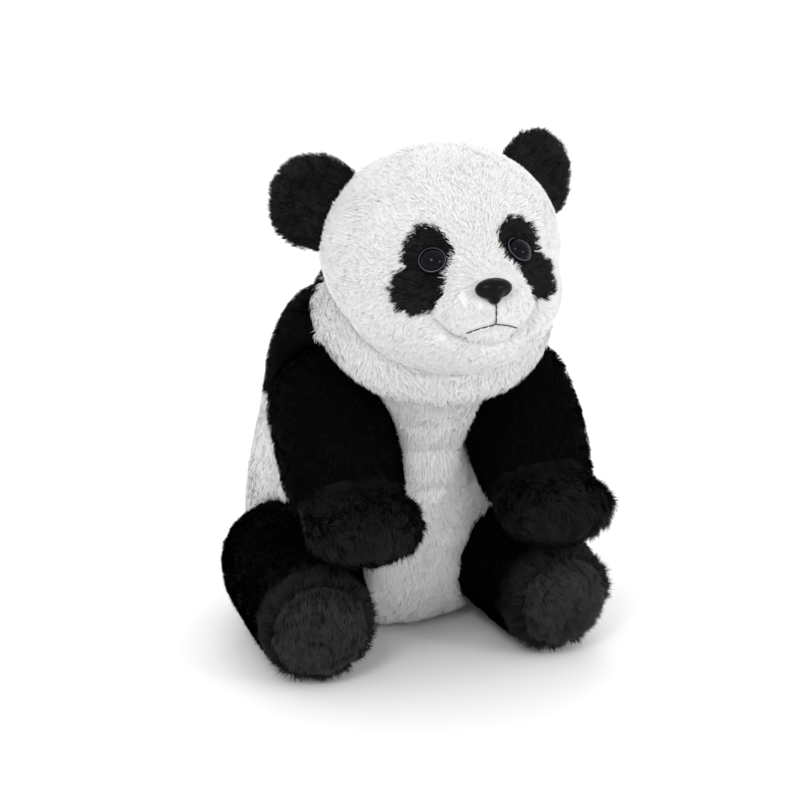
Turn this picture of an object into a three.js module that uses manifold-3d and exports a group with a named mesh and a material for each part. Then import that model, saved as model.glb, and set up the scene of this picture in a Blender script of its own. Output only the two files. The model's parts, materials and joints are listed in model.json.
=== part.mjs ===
// Sitting plush panda: sewn plush panels over stuffing, with a plastic nose and eyes.
// Millimetres, +Z up. The panda faces -Y, and the origin is the middle of its flat seat.
import * as THREE from "three";
import { mergeVertices } from "three/addons/utils/BufferGeometryUtils.js";
import Module from "manifold-3d";

const wasm = await Module();
wasm.setup();

// ---------- driving dimensions ----------

const PLUSH = 3.5; // plush fabric with the base of its pile
const SEAM = 0.4; // between pieces that are sewn or pushed together
const RUN = 1.2; // between a moving piece and what it moves in
const FAR = 400; // reach of a cutting block

const TORSO_HEIGHT = 208;
// The torso's level sections: share of its height, half width, front and back.
const TORSO = [
  [0, 58, -56, 58],
  [0.03, 73, -67, 73],
  [0.1, 85, -79, 84],
  [0.29, 92, -88, 91],
  [0.5, 88, -91, 84],
  [0.72, 81, -95, 63],
  [0.89, 74, -99, 39],
  [1, 65, -104, 13],
];
const SEAT_SEAM = 5; // height of the seam round the seat panel
const SIDE_SEAM = { foot: 4, top: -64 }; // where the side seam stands in depth, at the seat and the neck
const YOKE_SEAM = TORSO_HEIGHT - 56; // height of the seam under the black shoulder yoke
const POUCH = { at: [0, 4, 0], side: 42, front: 40, back: 40, top: 26, bottom: 26 };

// The neck: a ball on the torso, a fabric band that turns on it, and the head's hollow.
const NECK = { pivot: [5, -85, TORSO_HEIGHT + 14], lean: 28, ball: 49, band: 3.5, bandTop: 15, bandFoot: -3.5 };
const NOD_ROOM = 8.5; // degrees left open under the head
const NOD_REACH = 92; // how far out from the neck's axis that room goes

// How the head is held at rest, in degrees: turned left, raised, and tipped right.
const HELD = { turn: 0, raise: 3, tip: 2 };
const HEAD = { at: [0, -20, 37], side: 75, front: 58, back: 72, top: 67, bottom: 62, detail: [20, 12] };
const JOWLS = { at: [0, -36, 16], side: 68, front: 58, back: 58, top: 44, bottom: 40, detail: [16, 8] };
const MUZZLE = { at: [0, -60, 19], side: 41, front: 44, back: 40, top: 23, bottom: 28, detail: [12, 8] };
const CHIN = { at: [0, -62, 2], side: 33, front: 35, back: 34, top: 20, bottom: 18, detail: [10, 6] };
const GUSSET = { half: 21, brow: 67 }; // panel from the brow over the crown to the nape
const MUZZLE_SEAM = -84; // depth of the seam round the muzzle panel
const CHIN_SEAM = { half: 34, back: -40, top: 0 };

const EAR_AT = [HEAD.side - 4, 4, HEAD.at[2] + 34];
const EAR = { half: 28.5, high: 31, thick: 9, splay: 15, room: 2.8 };
const EAR_CUP = { half: 20, high: 22, deep: 5 }; // the hollow in an ear's front
const EYE = { across: 27, up: 44, radius: 7.5, dome: 5.2, stem: 2.2, long: 14, washer: 6.2, behind: 3.6 };
const NOSE = { up: 28, tilt: 20, half: 11.2, high: 7.6, proud: 7, sunk: 3.5, stem: 2.4, long: 17 };
const NOSE_WASHER = { radius: 6.5, behind: 5.5 };
const WASHER = 1.6; // thickness
const FIT = 0.3; // between plastic and what it is pushed through
// Eye patch, from the eye's middle: toward the nose, and up.
const PATCH = [
  [4, 19], [11, 13], [14, 2], [6, -8], [1, -18], [-5, -28], [-15, -29],
  [-22, -25], [-23, -12], [-18, -6], [-13.5, -4], [-14.5, 5], [-10, 13], [-3, 18],
];
const PATCH_BACK = -58; // depth behind which nothing belongs to the patch
const THREAD = 0.7; // radius of the mouth's stitched line
const MOUTH = [[-15, 4], [-8, 7], [0, 9], [8, 7], [15, 4]]; // across and up
const LIP = 20.5; // top of the stitched line under the nose

// Limbs: the height that a spine hangs from and its points, outward, back and up from there.
// Then the girth: share of the length, half width across and half depth.
const ARM = {
  hung: TORSO_HEIGHT - 50,
  spine: {
    left: [[56, -42, 24], [65, -70, 0], [66, -97, -34], [65, -122, -54], [65, -172, -56]],
    right: [[60, -40, 28], [60, -70, 0], [59, -96, -34], [59, -119, -53], [57, -168, -55]],
  },
  girth: [[0, 36, 36], [0.25, 39, 36], [0.5, 40, 34], [0.68, 37, 27], [0.85, 39, 24], [1, 36, 21]],
  axis: [-Math.SQRT1_2, -Math.SQRT1_2, 0], // a left arm lifts about this, forward and outward
  swing: 45, // degrees it lifts
  ease: 3.5, // extra room round the shoulder
  seam: 0.64, // share of the length where the paw is sewn on
  palm: TORSO_HEIGHT - 108, // height of the seam round the palm
  square: 0.6,
};
const LEG = {
  hung: 44.4,
  spine: {
    left: [[68, 6, 0], [69, -60, -1], [69, -105, -5], [74, -150, -7.6]],
    right: [[66, 6, 0], [76, -50, -2], [82, -95, -5.1], [87, -144, -7.2]],
  },
  girth: [[0, 44, 44], [0.4, 42, 42], [0.7, 39, 39], [1, 38, 37]],
  axis: [0, 0, 1], // a left leg splays about this
  swing: 20, // degrees it splays
  ease: 2, // extra room round the hip
  seam: 0.8, // share of the length where the shaggy foot is sewn on
  sole: 29, // radius of the sole panel
  square: 0.24,
};

// ---------- solids ----------

const COLOURS = {
  white: [0xf2f1ee, 0.95],
  black: [0x131216, 0.95],
  shaggy: [0x2a282c, 0.9],
  filling: [0xf7f5ee, 1],
  gloss: [0x08080a, 0.08],
  washer: [0xe8e8e4, 0.5],
  thread: [0x1a1516, 0.8],
  cloth: [0xb9b3a4, 0.9],
};

const radians = THREE.MathUtils.degToRad;
const point = (values) => new THREE.Vector3(...values);

// A three.js geometry as a solid that can be joined and cut, first moved into a frame.
function solid(geometry, frame) {
  const bare = new THREE.BufferGeometry();
  bare.setAttribute("position", geometry.getAttribute("position"));
  if (geometry.index) bare.setIndex(geometry.index);
  if (frame) bare.applyMatrix4(frame);
  const merged = mergeVertices(bare, 1e-3);
  return new wasm.Manifold(
    new wasm.Mesh({
      numProp: 3,
      vertProperties: merged.attributes.position.array,
      triVerts: new Uint32Array(merged.index.array),
    }),
  );
}

// Moves every point of a geometry to where a function says.
function shaped(geometry, place) {
  const points = geometry.getAttribute("position");
  const p = new THREE.Vector3();
  for (let i = 0; i < points.count; i++) {
    p.fromBufferAttribute(points, i);
    const moved = place(p);
    points.setXYZ(i, moved.x, moved.y, moved.z);
  }
  return geometry;
}

// Inner surfaces, which nothing shows, have fewer facets.
const facets = (count, inset) => (inset > 0 ? Math.round(count * 0.7) : count);

// An egg has a radius of its own to every side.
function egg(shape, inset = 0, frame, around = 16, rings = 10) {
  const { at, side, front, back, top, bottom } = shape;
  const sphere = new THREE.SphereGeometry(1, facets(around, inset), facets(rings, inset));
  sphere.rotateX(Math.PI / 2);
  const grown = shaped(sphere, (p) => {
    const deep = p.y < 0 ? front : back;
    const high = p.z < 0 ? bottom : top;
    return point([
      at[0] + p.x * (side - inset),
      at[1] + p.y * (deep - inset),
      at[2] + p.z * (high - inset),
    ]);
  });
  return solid(grown, frame);
}

const round = (radius) => ({ side: radius, front: radius, back: radius, top: radius, bottom: radius });
const ball = (radius, frame) => egg({ at: [0, 0, 0], ...round(radius) }, 0, frame, 20, 10);

// A turned solid, from radius and height pairs, about a frame's own Z.
function turned(profile, around, frame) {
  const outline = profile.map(([r, h]) => new THREE.Vector2(r, h));
  return solid(new THREE.LatheGeometry(outline, around).rotateX(Math.PI / 2), frame);
}

function block(low, high, frame) {
  const size = high.map((v, i) => v - low[i]);
  const middle = high.map((v, i) => (v + low[i]) / 2);
  return solid(new THREE.BoxGeometry(...size).translate(...middle), frame);
}

const joined = (...solids) => solids.reduce((a, b) => a.add(b));

// A value between stations, along a smooth curve. Each station starts with its place.
function between(stations, place, column) {
  let i = 0;
  while (i < stations.length - 2 && place > stations[i + 1][0]) i++;
  const at = (k) => stations[THREE.MathUtils.clamp(k, 0, stations.length - 1)];
  const span = at(i + 1)[0] - at(i)[0];
  const u = THREE.MathUtils.clamp((place - at(i)[0]) / span, 0, 1);
  const slope = (k) => (at(k + 1)[column] - at(k - 1)[column]) / (at(k + 1)[0] - at(k - 1)[0]);
  const a = at(i)[column];
  const b = at(i + 1)[column];
  const rise = a + (b - a) * u * u * (3 - 2 * u);
  return rise + span * (slope(i) * (u ** 3 - 2 * u * u + u) + slope(i + 1) * (u ** 3 - u * u));
}

function spineOf(form, word) {
  const side = word === "left" ? 1 : -1;
  return new THREE.CatmullRomCurve3(
    form.spine[word].map(([x, y, z]) => point([side * x, y, form.hung + z])),
  );
}

// A limb: a turned profile with round ends, bent along its spine.
function limb(form, word, inset = 0, frame, lining = inset) {
  const rows = facets(10, lining);
  const around = facets(14, lining);
  const curve = spineOf(form, word);
  const length = curve.getLength();
  const start = form.girth[0][1] / length;
  const end = (form.girth[form.girth.length - 1][1] * form.square) / length;
  const rounding = (share) => {
    const a = Math.max(0, 1 - share / start);
    const b = Math.max(0, 1 - (1 - share) / end);
    return Math.sqrt((1 - a * a) * (1 - b * b));
  };
  const profile = Array.from({ length: rows + 1 }, (_, i) => {
    const share = (1 - Math.cos((Math.PI * i) / rows)) / 2;
    return new THREE.Vector2(i === 0 || i === rows ? 0 : rounding(share), share);
  });
  const across = new THREE.Vector3();
  const deep = new THREE.Vector3();
  const bent = shaped(new THREE.LatheGeometry(profile, around), (p) => {
    const place = inset / length + p.y * (1 - (2 * inset) / length); // its ends are inset too
    const share = THREE.MathUtils.clamp(place, 0, 1);
    const along = curve.getTangentAt(share);
    across.set(1, 0, 0).addScaledVector(along, -along.x).normalize();
    deep.crossVectors(across, along);
    return curve
      .getPointAt(share)
      .addScaledVector(along, (place - share) * length)
      .addScaledVector(across, p.x * (between(form.girth, share, 1) - inset))
      .addScaledVector(deep, p.z * (between(form.girth, share, 2) - inset));
  });
  return solid(bent, frame);
}

// A frame at a place on a limb's spine, with its Z along the spine.
function limbFrame(form, word, share) {
  const curve = spineOf(form, word);
  const turn = new THREE.Quaternion().setFromUnitVectors(point([0, 0, 1]), curve.getTangentAt(share));
  return new THREE.Matrix4().compose(curve.getPointAt(share), turn, point([1, 1, 1]));
}

// All that lies past a place on a limb's spine.
const pastLimb = (form, word, share, gap) =>
  block([-80, -80, gap], [80, 80, 110], limbFrame(form, word, share));

// Closes the two open ends of a tube, so that it is one solid.
function capped(tube) {
  const { radialSegments, tubularSegments } = tube.parameters;
  const index = [...tube.index.array];
  const ring = radialSegments + 1;
  const last = tubularSegments * ring;
  for (let i = 1; i < radialSegments - 1; i++) {
    index.push(0, i, i + 1, last, last + i + 1, last + i);
  }
  tube.setIndex(index);
  return tube;
}

// ---------- scene graph ----------

const panda = new THREE.Group();

function addPiece(name, shape, finish) {
  const mesh = shape.getMesh();
  const geometry = new THREE.BufferGeometry();
  geometry.setAttribute("position", new THREE.BufferAttribute(mesh.vertProperties, 3));
  geometry.setIndex(new THREE.BufferAttribute(mesh.triVerts, 1));
  geometry.computeVertexNormals();
  const [color, roughness] = COLOURS[finish];
  const piece = new THREE.Mesh(
    geometry,
    new THREE.MeshStandardMaterial({ color, roughness, metalness: 0 }),
  );
  piece.name = name;
  panda.add(piece);
}

// ---------- frames ----------

// The neck's own frame: its Z is the axis that the head turns about.
const neckFrame = new THREE.Matrix4()
  .makeTranslation(...NECK.pivot)
  .multiply(new THREE.Matrix4().makeRotationX(radians(NECK.lean)));
const headFrame = new THREE.Matrix4()
  .makeTranslation(...NECK.pivot)
  .multiply(
    new THREE.Matrix4().makeRotationFromEuler(
      new THREE.Euler(radians(-HELD.raise), radians(-HELD.tip), radians(HELD.turn), "ZYX"),
    ),
  );

// ---------- arms and legs ----------

const SIDES = { left: 1, right: -1 };
const everywhere = (low, high) => block([-FAR, -FAR, low], [FAR, FAR, high]);

for (const word in SIDES) {
  const arm = (inset) => limb(ARM, word, inset);
  const skin = arm(0).subtract(arm(PLUSH));
  const paw = skin.intersect(pastLimb(ARM, word, ARM.seam, SEAM));
  addPiece(`arm_sleeve_${word}`, skin.subtract(pastLimb(ARM, word, ARM.seam, 0)), "black");
  addPiece(`paw_back_${word}`, paw.intersect(everywhere(ARM.palm, FAR)), "shaggy");
  addPiece(`paw_palm_${word}`, paw.intersect(everywhere(-FAR, ARM.palm - SEAM)), "shaggy");
  addPiece(`arm_stuffing_${word}`, arm(PLUSH + SEAM), "filling");
}

for (const word in SIDES) {
  const leg = (inset) => limb(LEG, word, inset);
  const skin = leg(0).subtract(leg(PLUSH));
  const foot = skin.intersect(pastLimb(LEG, word, LEG.seam, SEAM));
  const sole = (radius) => turned([[0, -20], [radius, -20], [radius, 20], [0, 20]], 16, limbFrame(LEG, word, 1));
  addPiece(`leg_sleeve_${word}`, skin.subtract(pastLimb(LEG, word, LEG.seam, 0)), "black");
  addPiece(`foot_${word}`, foot.subtract(sole(LEG.sole + SEAM)), "shaggy");
  addPiece(`foot_sole_${word}`, foot.intersect(sole(LEG.sole)), "shaggy");
  addPiece(`leg_stuffing_${word}`, leg(PLUSH + SEAM), "filling");
}

// ---------- torso ----------

function torsoForm(inset) {
  const rows = facets(9, inset);
  const around = facets(22, inset);
  const profile = [new THREE.Vector2(0, 0)];
  for (let i = 0; i <= rows; i++) profile.push(new THREE.Vector2(1, (i / rows) ** 1.4));
  profile.push(new THREE.Vector2(0, 1));
  return solid(
    shaped(new THREE.LatheGeometry(profile, around), (p) => {
      const half = between(TORSO, p.y, 1) - inset;
      const front = between(TORSO, p.y, 2) + inset;
      const back = between(TORSO, p.y, 3) - inset;
      const height = inset + p.y * (TORSO_HEIGHT - 2 * inset);
      return point([p.x * half, (front + back) / 2 - (p.z * (back - front)) / 2, height]);
    }),
  );
}

// What the torso gives way to: the room under the head, and each limb where it rests.
const slope = Math.tan(radians(NOD_ROOM));
const underHead = (inset) =>
  turned(
    [[0, -RUN - inset], [NOD_REACH, -RUN - inset - NOD_REACH * slope], [NOD_REACH, FAR], [0, FAR]],
    20,
    neckFrame,
  );
// A socket takes its limb at rest and at the end of its swing, and the round of its joint.
function socket(form, word, inset) {
  const pivot = limbFrame(form, word, form.girth[0][1] / spineOf(form, word).getLength());
  const { x, y, z } = new THREE.Vector3().setFromMatrixPosition(pivot);
  const [forward, outward, up] = form.axis;
  const axis = point([forward, SIDES[word] * outward, SIDES[word] * up]);
  const swung = new THREE.Matrix4()
    .makeTranslation(x, y, z)
    .multiply(new THREE.Matrix4().makeRotationAxis(axis, radians(form.swing)))
    .multiply(new THREE.Matrix4().makeTranslation(-x, -y, -z));
  return joined(
    limb(form, word, -RUN - inset, undefined, inset),
    limb(form, word, -RUN - inset, swung, inset),
    ball(form.girth[0][1] + form.ease + RUN + inset, pivot),
  );
}
const sockets = (inset) =>
  joined(...Object.keys(SIDES).flatMap((word) => [ARM, LEG].map((form) => socket(form, word, inset))));
const torso = (inset) =>
  torsoForm(inset)
    .subtract(underHead(inset))
    .add(ball(NECK.ball - inset, neckFrame))
    .subtract(sockets(inset));

const torsoSkin = torso(0).subtract(torso(PLUSH));
const seamLean = Math.atan2(SIDE_SEAM.foot - SIDE_SEAM.top, NECK.pivot[2]);
const seamFrame = new THREE.Matrix4()
  .makeTranslation(0, SIDE_SEAM.foot, 0)
  .multiply(new THREE.Matrix4().makeRotationX(seamLean));
const ahead = block([-FAR, -FAR, -FAR], [FAR, -SEAM / 2, FAR], seamFrame);
const behind = block([-FAR, SEAM / 2, -FAR], [FAR, FAR, FAR], seamFrame);
const aboveSeat = torsoSkin.subtract(everywhere(-FAR, SEAT_SEAM + SEAM));
addPiece("belly_panel", aboveSeat.intersect(ahead), "white");
addPiece("back_panel", aboveSeat.intersect(behind).intersect(everywhere(0, YOKE_SEAM)), "white");
addPiece("shoulder_yoke", aboveSeat.intersect(behind).intersect(everywhere(YOKE_SEAM + SEAM, FAR)), "black");
addPiece("seat_panel", torsoSkin.intersect(everywhere(-FAR, SEAT_SEAM)), "white");
addPiece("torso_stuffing", torso(PLUSH + SEAM).subtract(egg(POUCH, -SEAM)), "filling");
addPiece("pellet_pouch", egg(POUCH).intersect(everywhere(PLUSH + SEAM, FAR)), "cloth");

// ---------- head ----------

const bandInside = NECK.ball + RUN;
const hollow = NECK.ball + NECK.band + 2 * RUN;
addPiece(
  "neck_band",
  ball(bandInside + NECK.band, neckFrame)
    .subtract(ball(bandInside, neckFrame))
    .intersect(block([-FAR, -FAR, NECK.bandFoot], [FAR, FAR, NECK.bandTop], neckFrame)),
  "white",
);

const eggs = [HEAD, JOWLS, MUZZLE, CHIN];
const head = (inset) =>
  joined(...eggs.map((form) => egg(form, inset, headFrame, ...form.detail)))
    .subtract(block([-FAR, -FAR, -FAR], [FAR, FAR, inset], neckFrame))
    .subtract(ball(hollow + inset, neckFrame));

// Where the face's surface is, at a place across and up, and which way it looks.
function face(x, z) {
  const depth = (across, up) =>
    Math.min(
      ...eggs.map(({ at, side, front, top, bottom }) => {
        const high = up < at[2] ? bottom : top;
        const rest = 1 - ((across - at[0]) / side) ** 2 - ((up - at[2]) / high) ** 2;
        return rest > 0 ? at[1] - front * Math.sqrt(rest) : 0;
      }),
    );
  const normal = point([depth(x + 1, z) - depth(x - 1, z), -2, depth(x, z + 1) - depth(x, z - 1)]);
  return { at: point([x, depth(x, z), z]), normal: normal.normalize() };
}

// A frame on the face whose Z points out of it.
function faceFrame(at, normal) {
  const across = point([1, 0, 0]).addScaledVector(normal, -normal.x).normalize();
  const up = new THREE.Vector3().crossVectors(normal, across);
  return headFrame.clone().multiply(new THREE.Matrix4().makeBasis(across, up, normal).setPosition(at));
}

const post = (radius, low, high, frame) => turned([[0, low], [radius, low], [radius, high], [0, high]], 10, frame);
const washer = (shape, radius, low, frame) =>
  post(radius, low - WASHER, low, frame).subtract(post(shape.stem + FIT, -FAR, FAR, frame));

let skin = head(0).subtract(head(PLUSH));
let stuffing = head(PLUSH + SEAM);

for (const [word, side] of Object.entries(SIDES)) {
  const { at, normal } = face(side * EYE.across, EYE.up);
  const frame = faceFrame(at, normal);
  const dome = Array.from({ length: 6 }, (_, i) => {
    const turn = (Math.PI / 2) * (i / 5);
    return [EYE.radius * Math.cos(turn), SEAM + EYE.dome * Math.sin(turn)];
  });
  dome[dome.length - 1][0] = 0;
  const back = -PLUSH - EYE.behind;
  addPiece(`eye_${word}`, turned([[0, -EYE.long], [EYE.stem, -EYE.long], [EYE.stem, SEAM], ...dome], 12, frame), "gloss");
  addPiece(`eye_washer_${word}`, washer(EYE, EYE.washer, back, frame), "washer");
  skin = skin
    .subtract(post(EYE.stem + FIT, -EYE.long, 9, frame))
    .subtract(post(EYE.radius + FIT, SEAM - FIT, 9, frame));
  stuffing = stuffing
    .subtract(post(EYE.washer + FIT, back - WASHER - FIT, 9, frame))
    .subtract(post(EYE.stem + FIT, -EYE.long - FIT, 9, frame));
}

const noseAt = face(0, NOSE.up).at;
const tilt = radians(NOSE.tilt);
const noseFrame = faceFrame(noseAt, point([0, -Math.cos(tilt), Math.sin(tilt)]));
const noseForm = (grow) => {
  const ballForm = new THREE.SphereGeometry(1, 14, 8).rotateX(Math.PI / 2);
  const rounded = shaped(ballForm, (p) => {
    const narrow = 0.8 + 0.2 * p.y; // the nose narrows toward its foot
    const deep = p.z < 0 ? NOSE.sunk : NOSE.proud;
    return point([p.x * (NOSE.half + grow) * narrow, p.y * (NOSE.high + grow), p.z * (deep + grow)]);
  });
  return solid(rounded, noseFrame);
};
const noseBack = -PLUSH - NOSE_WASHER.behind;
addPiece("nose", noseForm(0).add(post(NOSE.stem, -NOSE.long, 0, noseFrame)), "gloss");
addPiece("nose_washer", washer(NOSE, NOSE_WASHER.radius, noseBack, noseFrame), "washer");
const noseHole = noseForm(FIT).add(post(NOSE.stem + FIT, -NOSE.long - FIT, 0, noseFrame));
skin = skin.subtract(noseHole);
stuffing = stuffing
  .subtract(noseHole)
  .subtract(post(NOSE_WASHER.radius + FIT, noseBack - WASHER - FIT, 9, noseFrame));
addPiece("head_stuffing", stuffing, "filling");

// The stitched mouth lies on the fur: one line down from the nose, and the lip's line.
const thread = (places) => {
  const line = new THREE.CatmullRomCurve3(
    places.map(([x, z]) => face(x, z).at.add(point([0, -THREAD - 2 * SEAM, 0]))),
  );
  return solid(capped(new THREE.TubeGeometry(line, 10, THREAD, 6)), headFrame);
};
addPiece("mouth_stitch", thread([[0, LIP], [0, 15], [0, MOUTH[2][1]]]).add(thread(MOUTH)), "thread");

// Each panel is taken from what is left of the skin, with a seam's gap round it.
function take(name, finish, region) {
  addPiece(name, skin.intersect(region(0)), finish);
  skin = skin.subtract(region(SEAM));
}
const panel = (low, high) => (grow) => block(low.map((v) => v - grow), high.map((v) => v + grow), headFrame);

for (const [word, side] of Object.entries(SIDES)) {
  take(`eye_patch_${word}`, "shaggy", (grow) => {
    const spread = 1 + grow / 12;
    const outline = PATCH.map(([x, z]) => new THREE.Vector2(-side * x * spread, z * spread));
    const prism = new THREE.ExtrudeGeometry(new THREE.Shape(outline), { depth: FAR, bevelEnabled: false });
    return solid(prism.rotateX(Math.PI / 2).translate(side * EYE.across, PATCH_BACK, EYE.up), headFrame);
  });
}
take("head_gusset", "white", (grow) =>
  joined(
    panel([-GUSSET.half, -FAR, GUSSET.brow], [GUSSET.half, FAR, FAR])(grow),
    panel([-GUSSET.half, 0, -FAR], [GUSSET.half, FAR, FAR])(grow),
  ),
);
take("chin_panel", "white", panel([-CHIN_SEAM.half, -FAR, -FAR], [CHIN_SEAM.half, CHIN_SEAM.back, CHIN_SEAM.top]));
take("muzzle_panel", "white", panel([-FAR, -FAR, -FAR], [FAR, MUZZLE_SEAM, FAR]));
addPiece("head_side_left", skin.intersect(panel([SEAM / 2, -FAR, -FAR], [FAR, FAR, FAR])(0)), "white");
addPiece("head_side_right", skin.intersect(panel([-FAR, -FAR, -FAR], [-SEAM / 2, FAR, FAR])(0)), "white");

// ---------- ears ----------

for (const [word, side] of Object.entries(SIDES)) {
  const [x, y, z] = EAR_AT;
  const frame = headFrame
    .clone()
    .multiply(new THREE.Matrix4().makeTranslation(side * x, y, z))
    .multiply(new THREE.Matrix4().makeRotationZ(radians(side * EAR.splay)));
  const lens = { side: EAR.half, front: EAR.thick, back: EAR.thick, top: EAR.high, bottom: EAR.high };
  const cup = { side: EAR_CUP.half, front: EAR_CUP.deep, back: EAR_CUP.deep, top: EAR_CUP.high, bottom: EAR_CUP.high };
  const ear = egg({ at: [0, 0, 0], ...lens }, 0, frame, 18, 10)
    .subtract(egg({ at: [0, -EAR.thick, 0], ...cup }, 0, frame, 12, 6))
    .subtract(head(-EAR.room));
  addPiece(`ear_front_${word}`, ear.intersect(block([-FAR, -FAR, -FAR], [FAR, 0, FAR], frame)), "shaggy");
  addPiece(`ear_back_${word}`, ear.intersect(block([-FAR, SEAM, -FAR], [FAR, FAR, FAR], frame)), "shaggy");
}

export default panda;
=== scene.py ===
# %% [markdown]
# # A sitting plush panda
#
# The real toy is a set of sewn plush skins, filled tight with polyester fibre: a body, a head, two ears,
# two arms and two legs. It has polished plastic eyes and nose, and a mouth stitched with black thread.
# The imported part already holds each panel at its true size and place. What is missing is softness, so
# this lesson stuffs the skins, grows a pile on them strand by strand, and gives the plastic its shine.
#
# Lengths are in metres, +Z is up, and the panda faces -Y.

import json
import math

import bpy
import numpy as np
from mathutils import Matrix, Vector, noise
from mathutils.bvhtree import BVHTree


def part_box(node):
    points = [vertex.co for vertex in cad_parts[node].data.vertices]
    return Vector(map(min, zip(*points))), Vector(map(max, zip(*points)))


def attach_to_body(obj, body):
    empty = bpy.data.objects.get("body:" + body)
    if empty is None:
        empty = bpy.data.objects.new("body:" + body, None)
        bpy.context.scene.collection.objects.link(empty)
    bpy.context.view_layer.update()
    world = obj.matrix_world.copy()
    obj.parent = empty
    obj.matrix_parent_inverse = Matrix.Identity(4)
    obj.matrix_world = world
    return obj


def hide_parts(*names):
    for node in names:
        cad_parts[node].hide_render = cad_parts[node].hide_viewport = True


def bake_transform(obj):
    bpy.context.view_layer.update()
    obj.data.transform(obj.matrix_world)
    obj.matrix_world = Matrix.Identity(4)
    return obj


MM = 0.001
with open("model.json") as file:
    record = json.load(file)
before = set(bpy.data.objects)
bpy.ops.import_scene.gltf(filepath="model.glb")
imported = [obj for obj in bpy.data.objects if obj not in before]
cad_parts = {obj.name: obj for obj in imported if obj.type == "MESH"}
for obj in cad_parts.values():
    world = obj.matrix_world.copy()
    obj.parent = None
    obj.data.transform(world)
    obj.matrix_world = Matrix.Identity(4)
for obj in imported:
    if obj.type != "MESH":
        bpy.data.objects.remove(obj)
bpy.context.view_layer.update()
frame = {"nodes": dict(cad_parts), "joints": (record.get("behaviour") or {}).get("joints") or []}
nodes = frame["nodes"]

# %% [markdown]
# ## The camera
#
# A toy is best seen a little from above and from one side, with a long lens, which keeps the feet from
# growing too large. The camera looks at the middle of the chest.

# %% Camera
LENS, DISTANCE = 100, 1.4
AZIMUTH, ELEVATION = math.radians(-20), math.radians(17)
AIM = Vector((-0.010, -0.065, 0.157))

back = Vector(
    (
        math.sin(AZIMUTH) * math.cos(ELEVATION),
        -math.cos(AZIMUTH) * math.cos(ELEVATION),
        math.sin(ELEVATION),
    )
)
bpy.ops.object.camera_add(location=AIM + back * DISTANCE)
camera = bpy.context.object
camera.name = "camera"
camera.rotation_euler = (-back).to_track_quat("-Z", "Y").to_euler()
camera.data.lens = LENS
bpy.context.scene.camera = camera
print("camera at", [round(v, 3) for v in camera.location])

# %% [markdown]
# ## Small helpers
#
# An operator works on whatever is selected, so each step starts by selecting one object alone. A modifier
# is added with its settings and applied at once, and points are moved as one numpy array.


# %% Selecting, modifiers and points
def alone(piece):
    bpy.ops.object.select_all(action="DESELECT")
    piece.select_set(True)
    bpy.context.view_layer.objects.active = piece


def worked(piece, kind, **settings):
    """Adds a modifier with these settings and applies it."""
    alone(piece)
    modifier = piece.modifiers.new(kind.lower(), kind)
    for key, value in settings.items():
        setattr(modifier, key, value)
    bpy.ops.object.modifier_apply(modifier=modifier.name)


def points_of(piece, what="co"):
    found = np.empty(len(piece.data.vertices) * 3, np.float32)
    source = piece.data.vertices if what == "co" else piece.data.vertex_normals
    source.foreach_get(what, found)
    return found.reshape(-1, 3).astype(float)


def move_points(piece, points):
    piece.data.vertices.foreach_set("co", points.astype(np.float32).ravel())
    piece.data.update()


def smoothstep(values, low, high):
    t = np.clip((values - low) / (high - low), 0, 1)
    return t * t * (3 - 2 * t)


def length_of(vectors):
    return np.sqrt((vectors**2).sum(-1))


def unit(vectors):
    return vectors / np.maximum(length_of(vectors)[..., None], 1e-9)


def middle(name):
    low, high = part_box(name)
    return np.array((low + high) / 2)


# %% [markdown]
# ## How a skin is stuffed
#
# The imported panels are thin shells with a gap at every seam. Joined to their filling and remeshed at a few
# millimetres they become one closed, even mesh. It is drawn in by the depth of its pile, and Blender's
# Cloth then blows it up like a sewn skin with the seams held: panels crown between their seams, as they do
# on the real toy. A cap keeps the swelling to a few millimetres.


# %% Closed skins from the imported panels
def joined_copy(name, members):
    """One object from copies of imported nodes, with their loose triangles merged."""
    bpy.ops.object.select_all(action="DESELECT")
    for member in members:
        part = bpy.data.objects.new(member + "_copy", nodes[member].data.copy())
        bpy.context.collection.objects.link(part)
        part.select_set(True)
        bpy.context.view_layer.objects.active = part
    bpy.ops.object.join()
    piece = bpy.context.object
    piece.name = name
    piece.data.materials.clear()
    bpy.ops.object.mode_set(mode="EDIT")
    bpy.ops.mesh.select_all(action="SELECT")
    bpy.ops.mesh.remove_doubles(threshold=0.01 * MM)
    bpy.ops.object.mode_set(mode="OBJECT")
    return piece


def tree_of(mesh):
    return BVHTree.FromPolygons([v.co for v in mesh.vertices], [p.vertices for p in mesh.polygons])


trees = {}


def distances(points, members):
    """How far each point is from each of these nodes."""
    found = np.empty((len(members), len(points)))
    for i, member in enumerate(members):
        if member not in trees:
            trees[member] = tree_of(nodes[member].data)
        nearest = trees[member].find_nearest
        found[i] = [nearest(p)[3] for p in points.tolist()]
    return found


def panels_at(points, panels):
    """The nearest panel to each point, and how far the point is from a seam."""
    apart = distances(points, panels)
    order = np.argsort(apart, axis=0)
    rows = np.arange(len(points))
    if len(panels) == 1:
        return order[0], np.full(len(points), 1.0)
    return order[0], apart[order[1], rows] - apart[order[0], rows]


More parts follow.
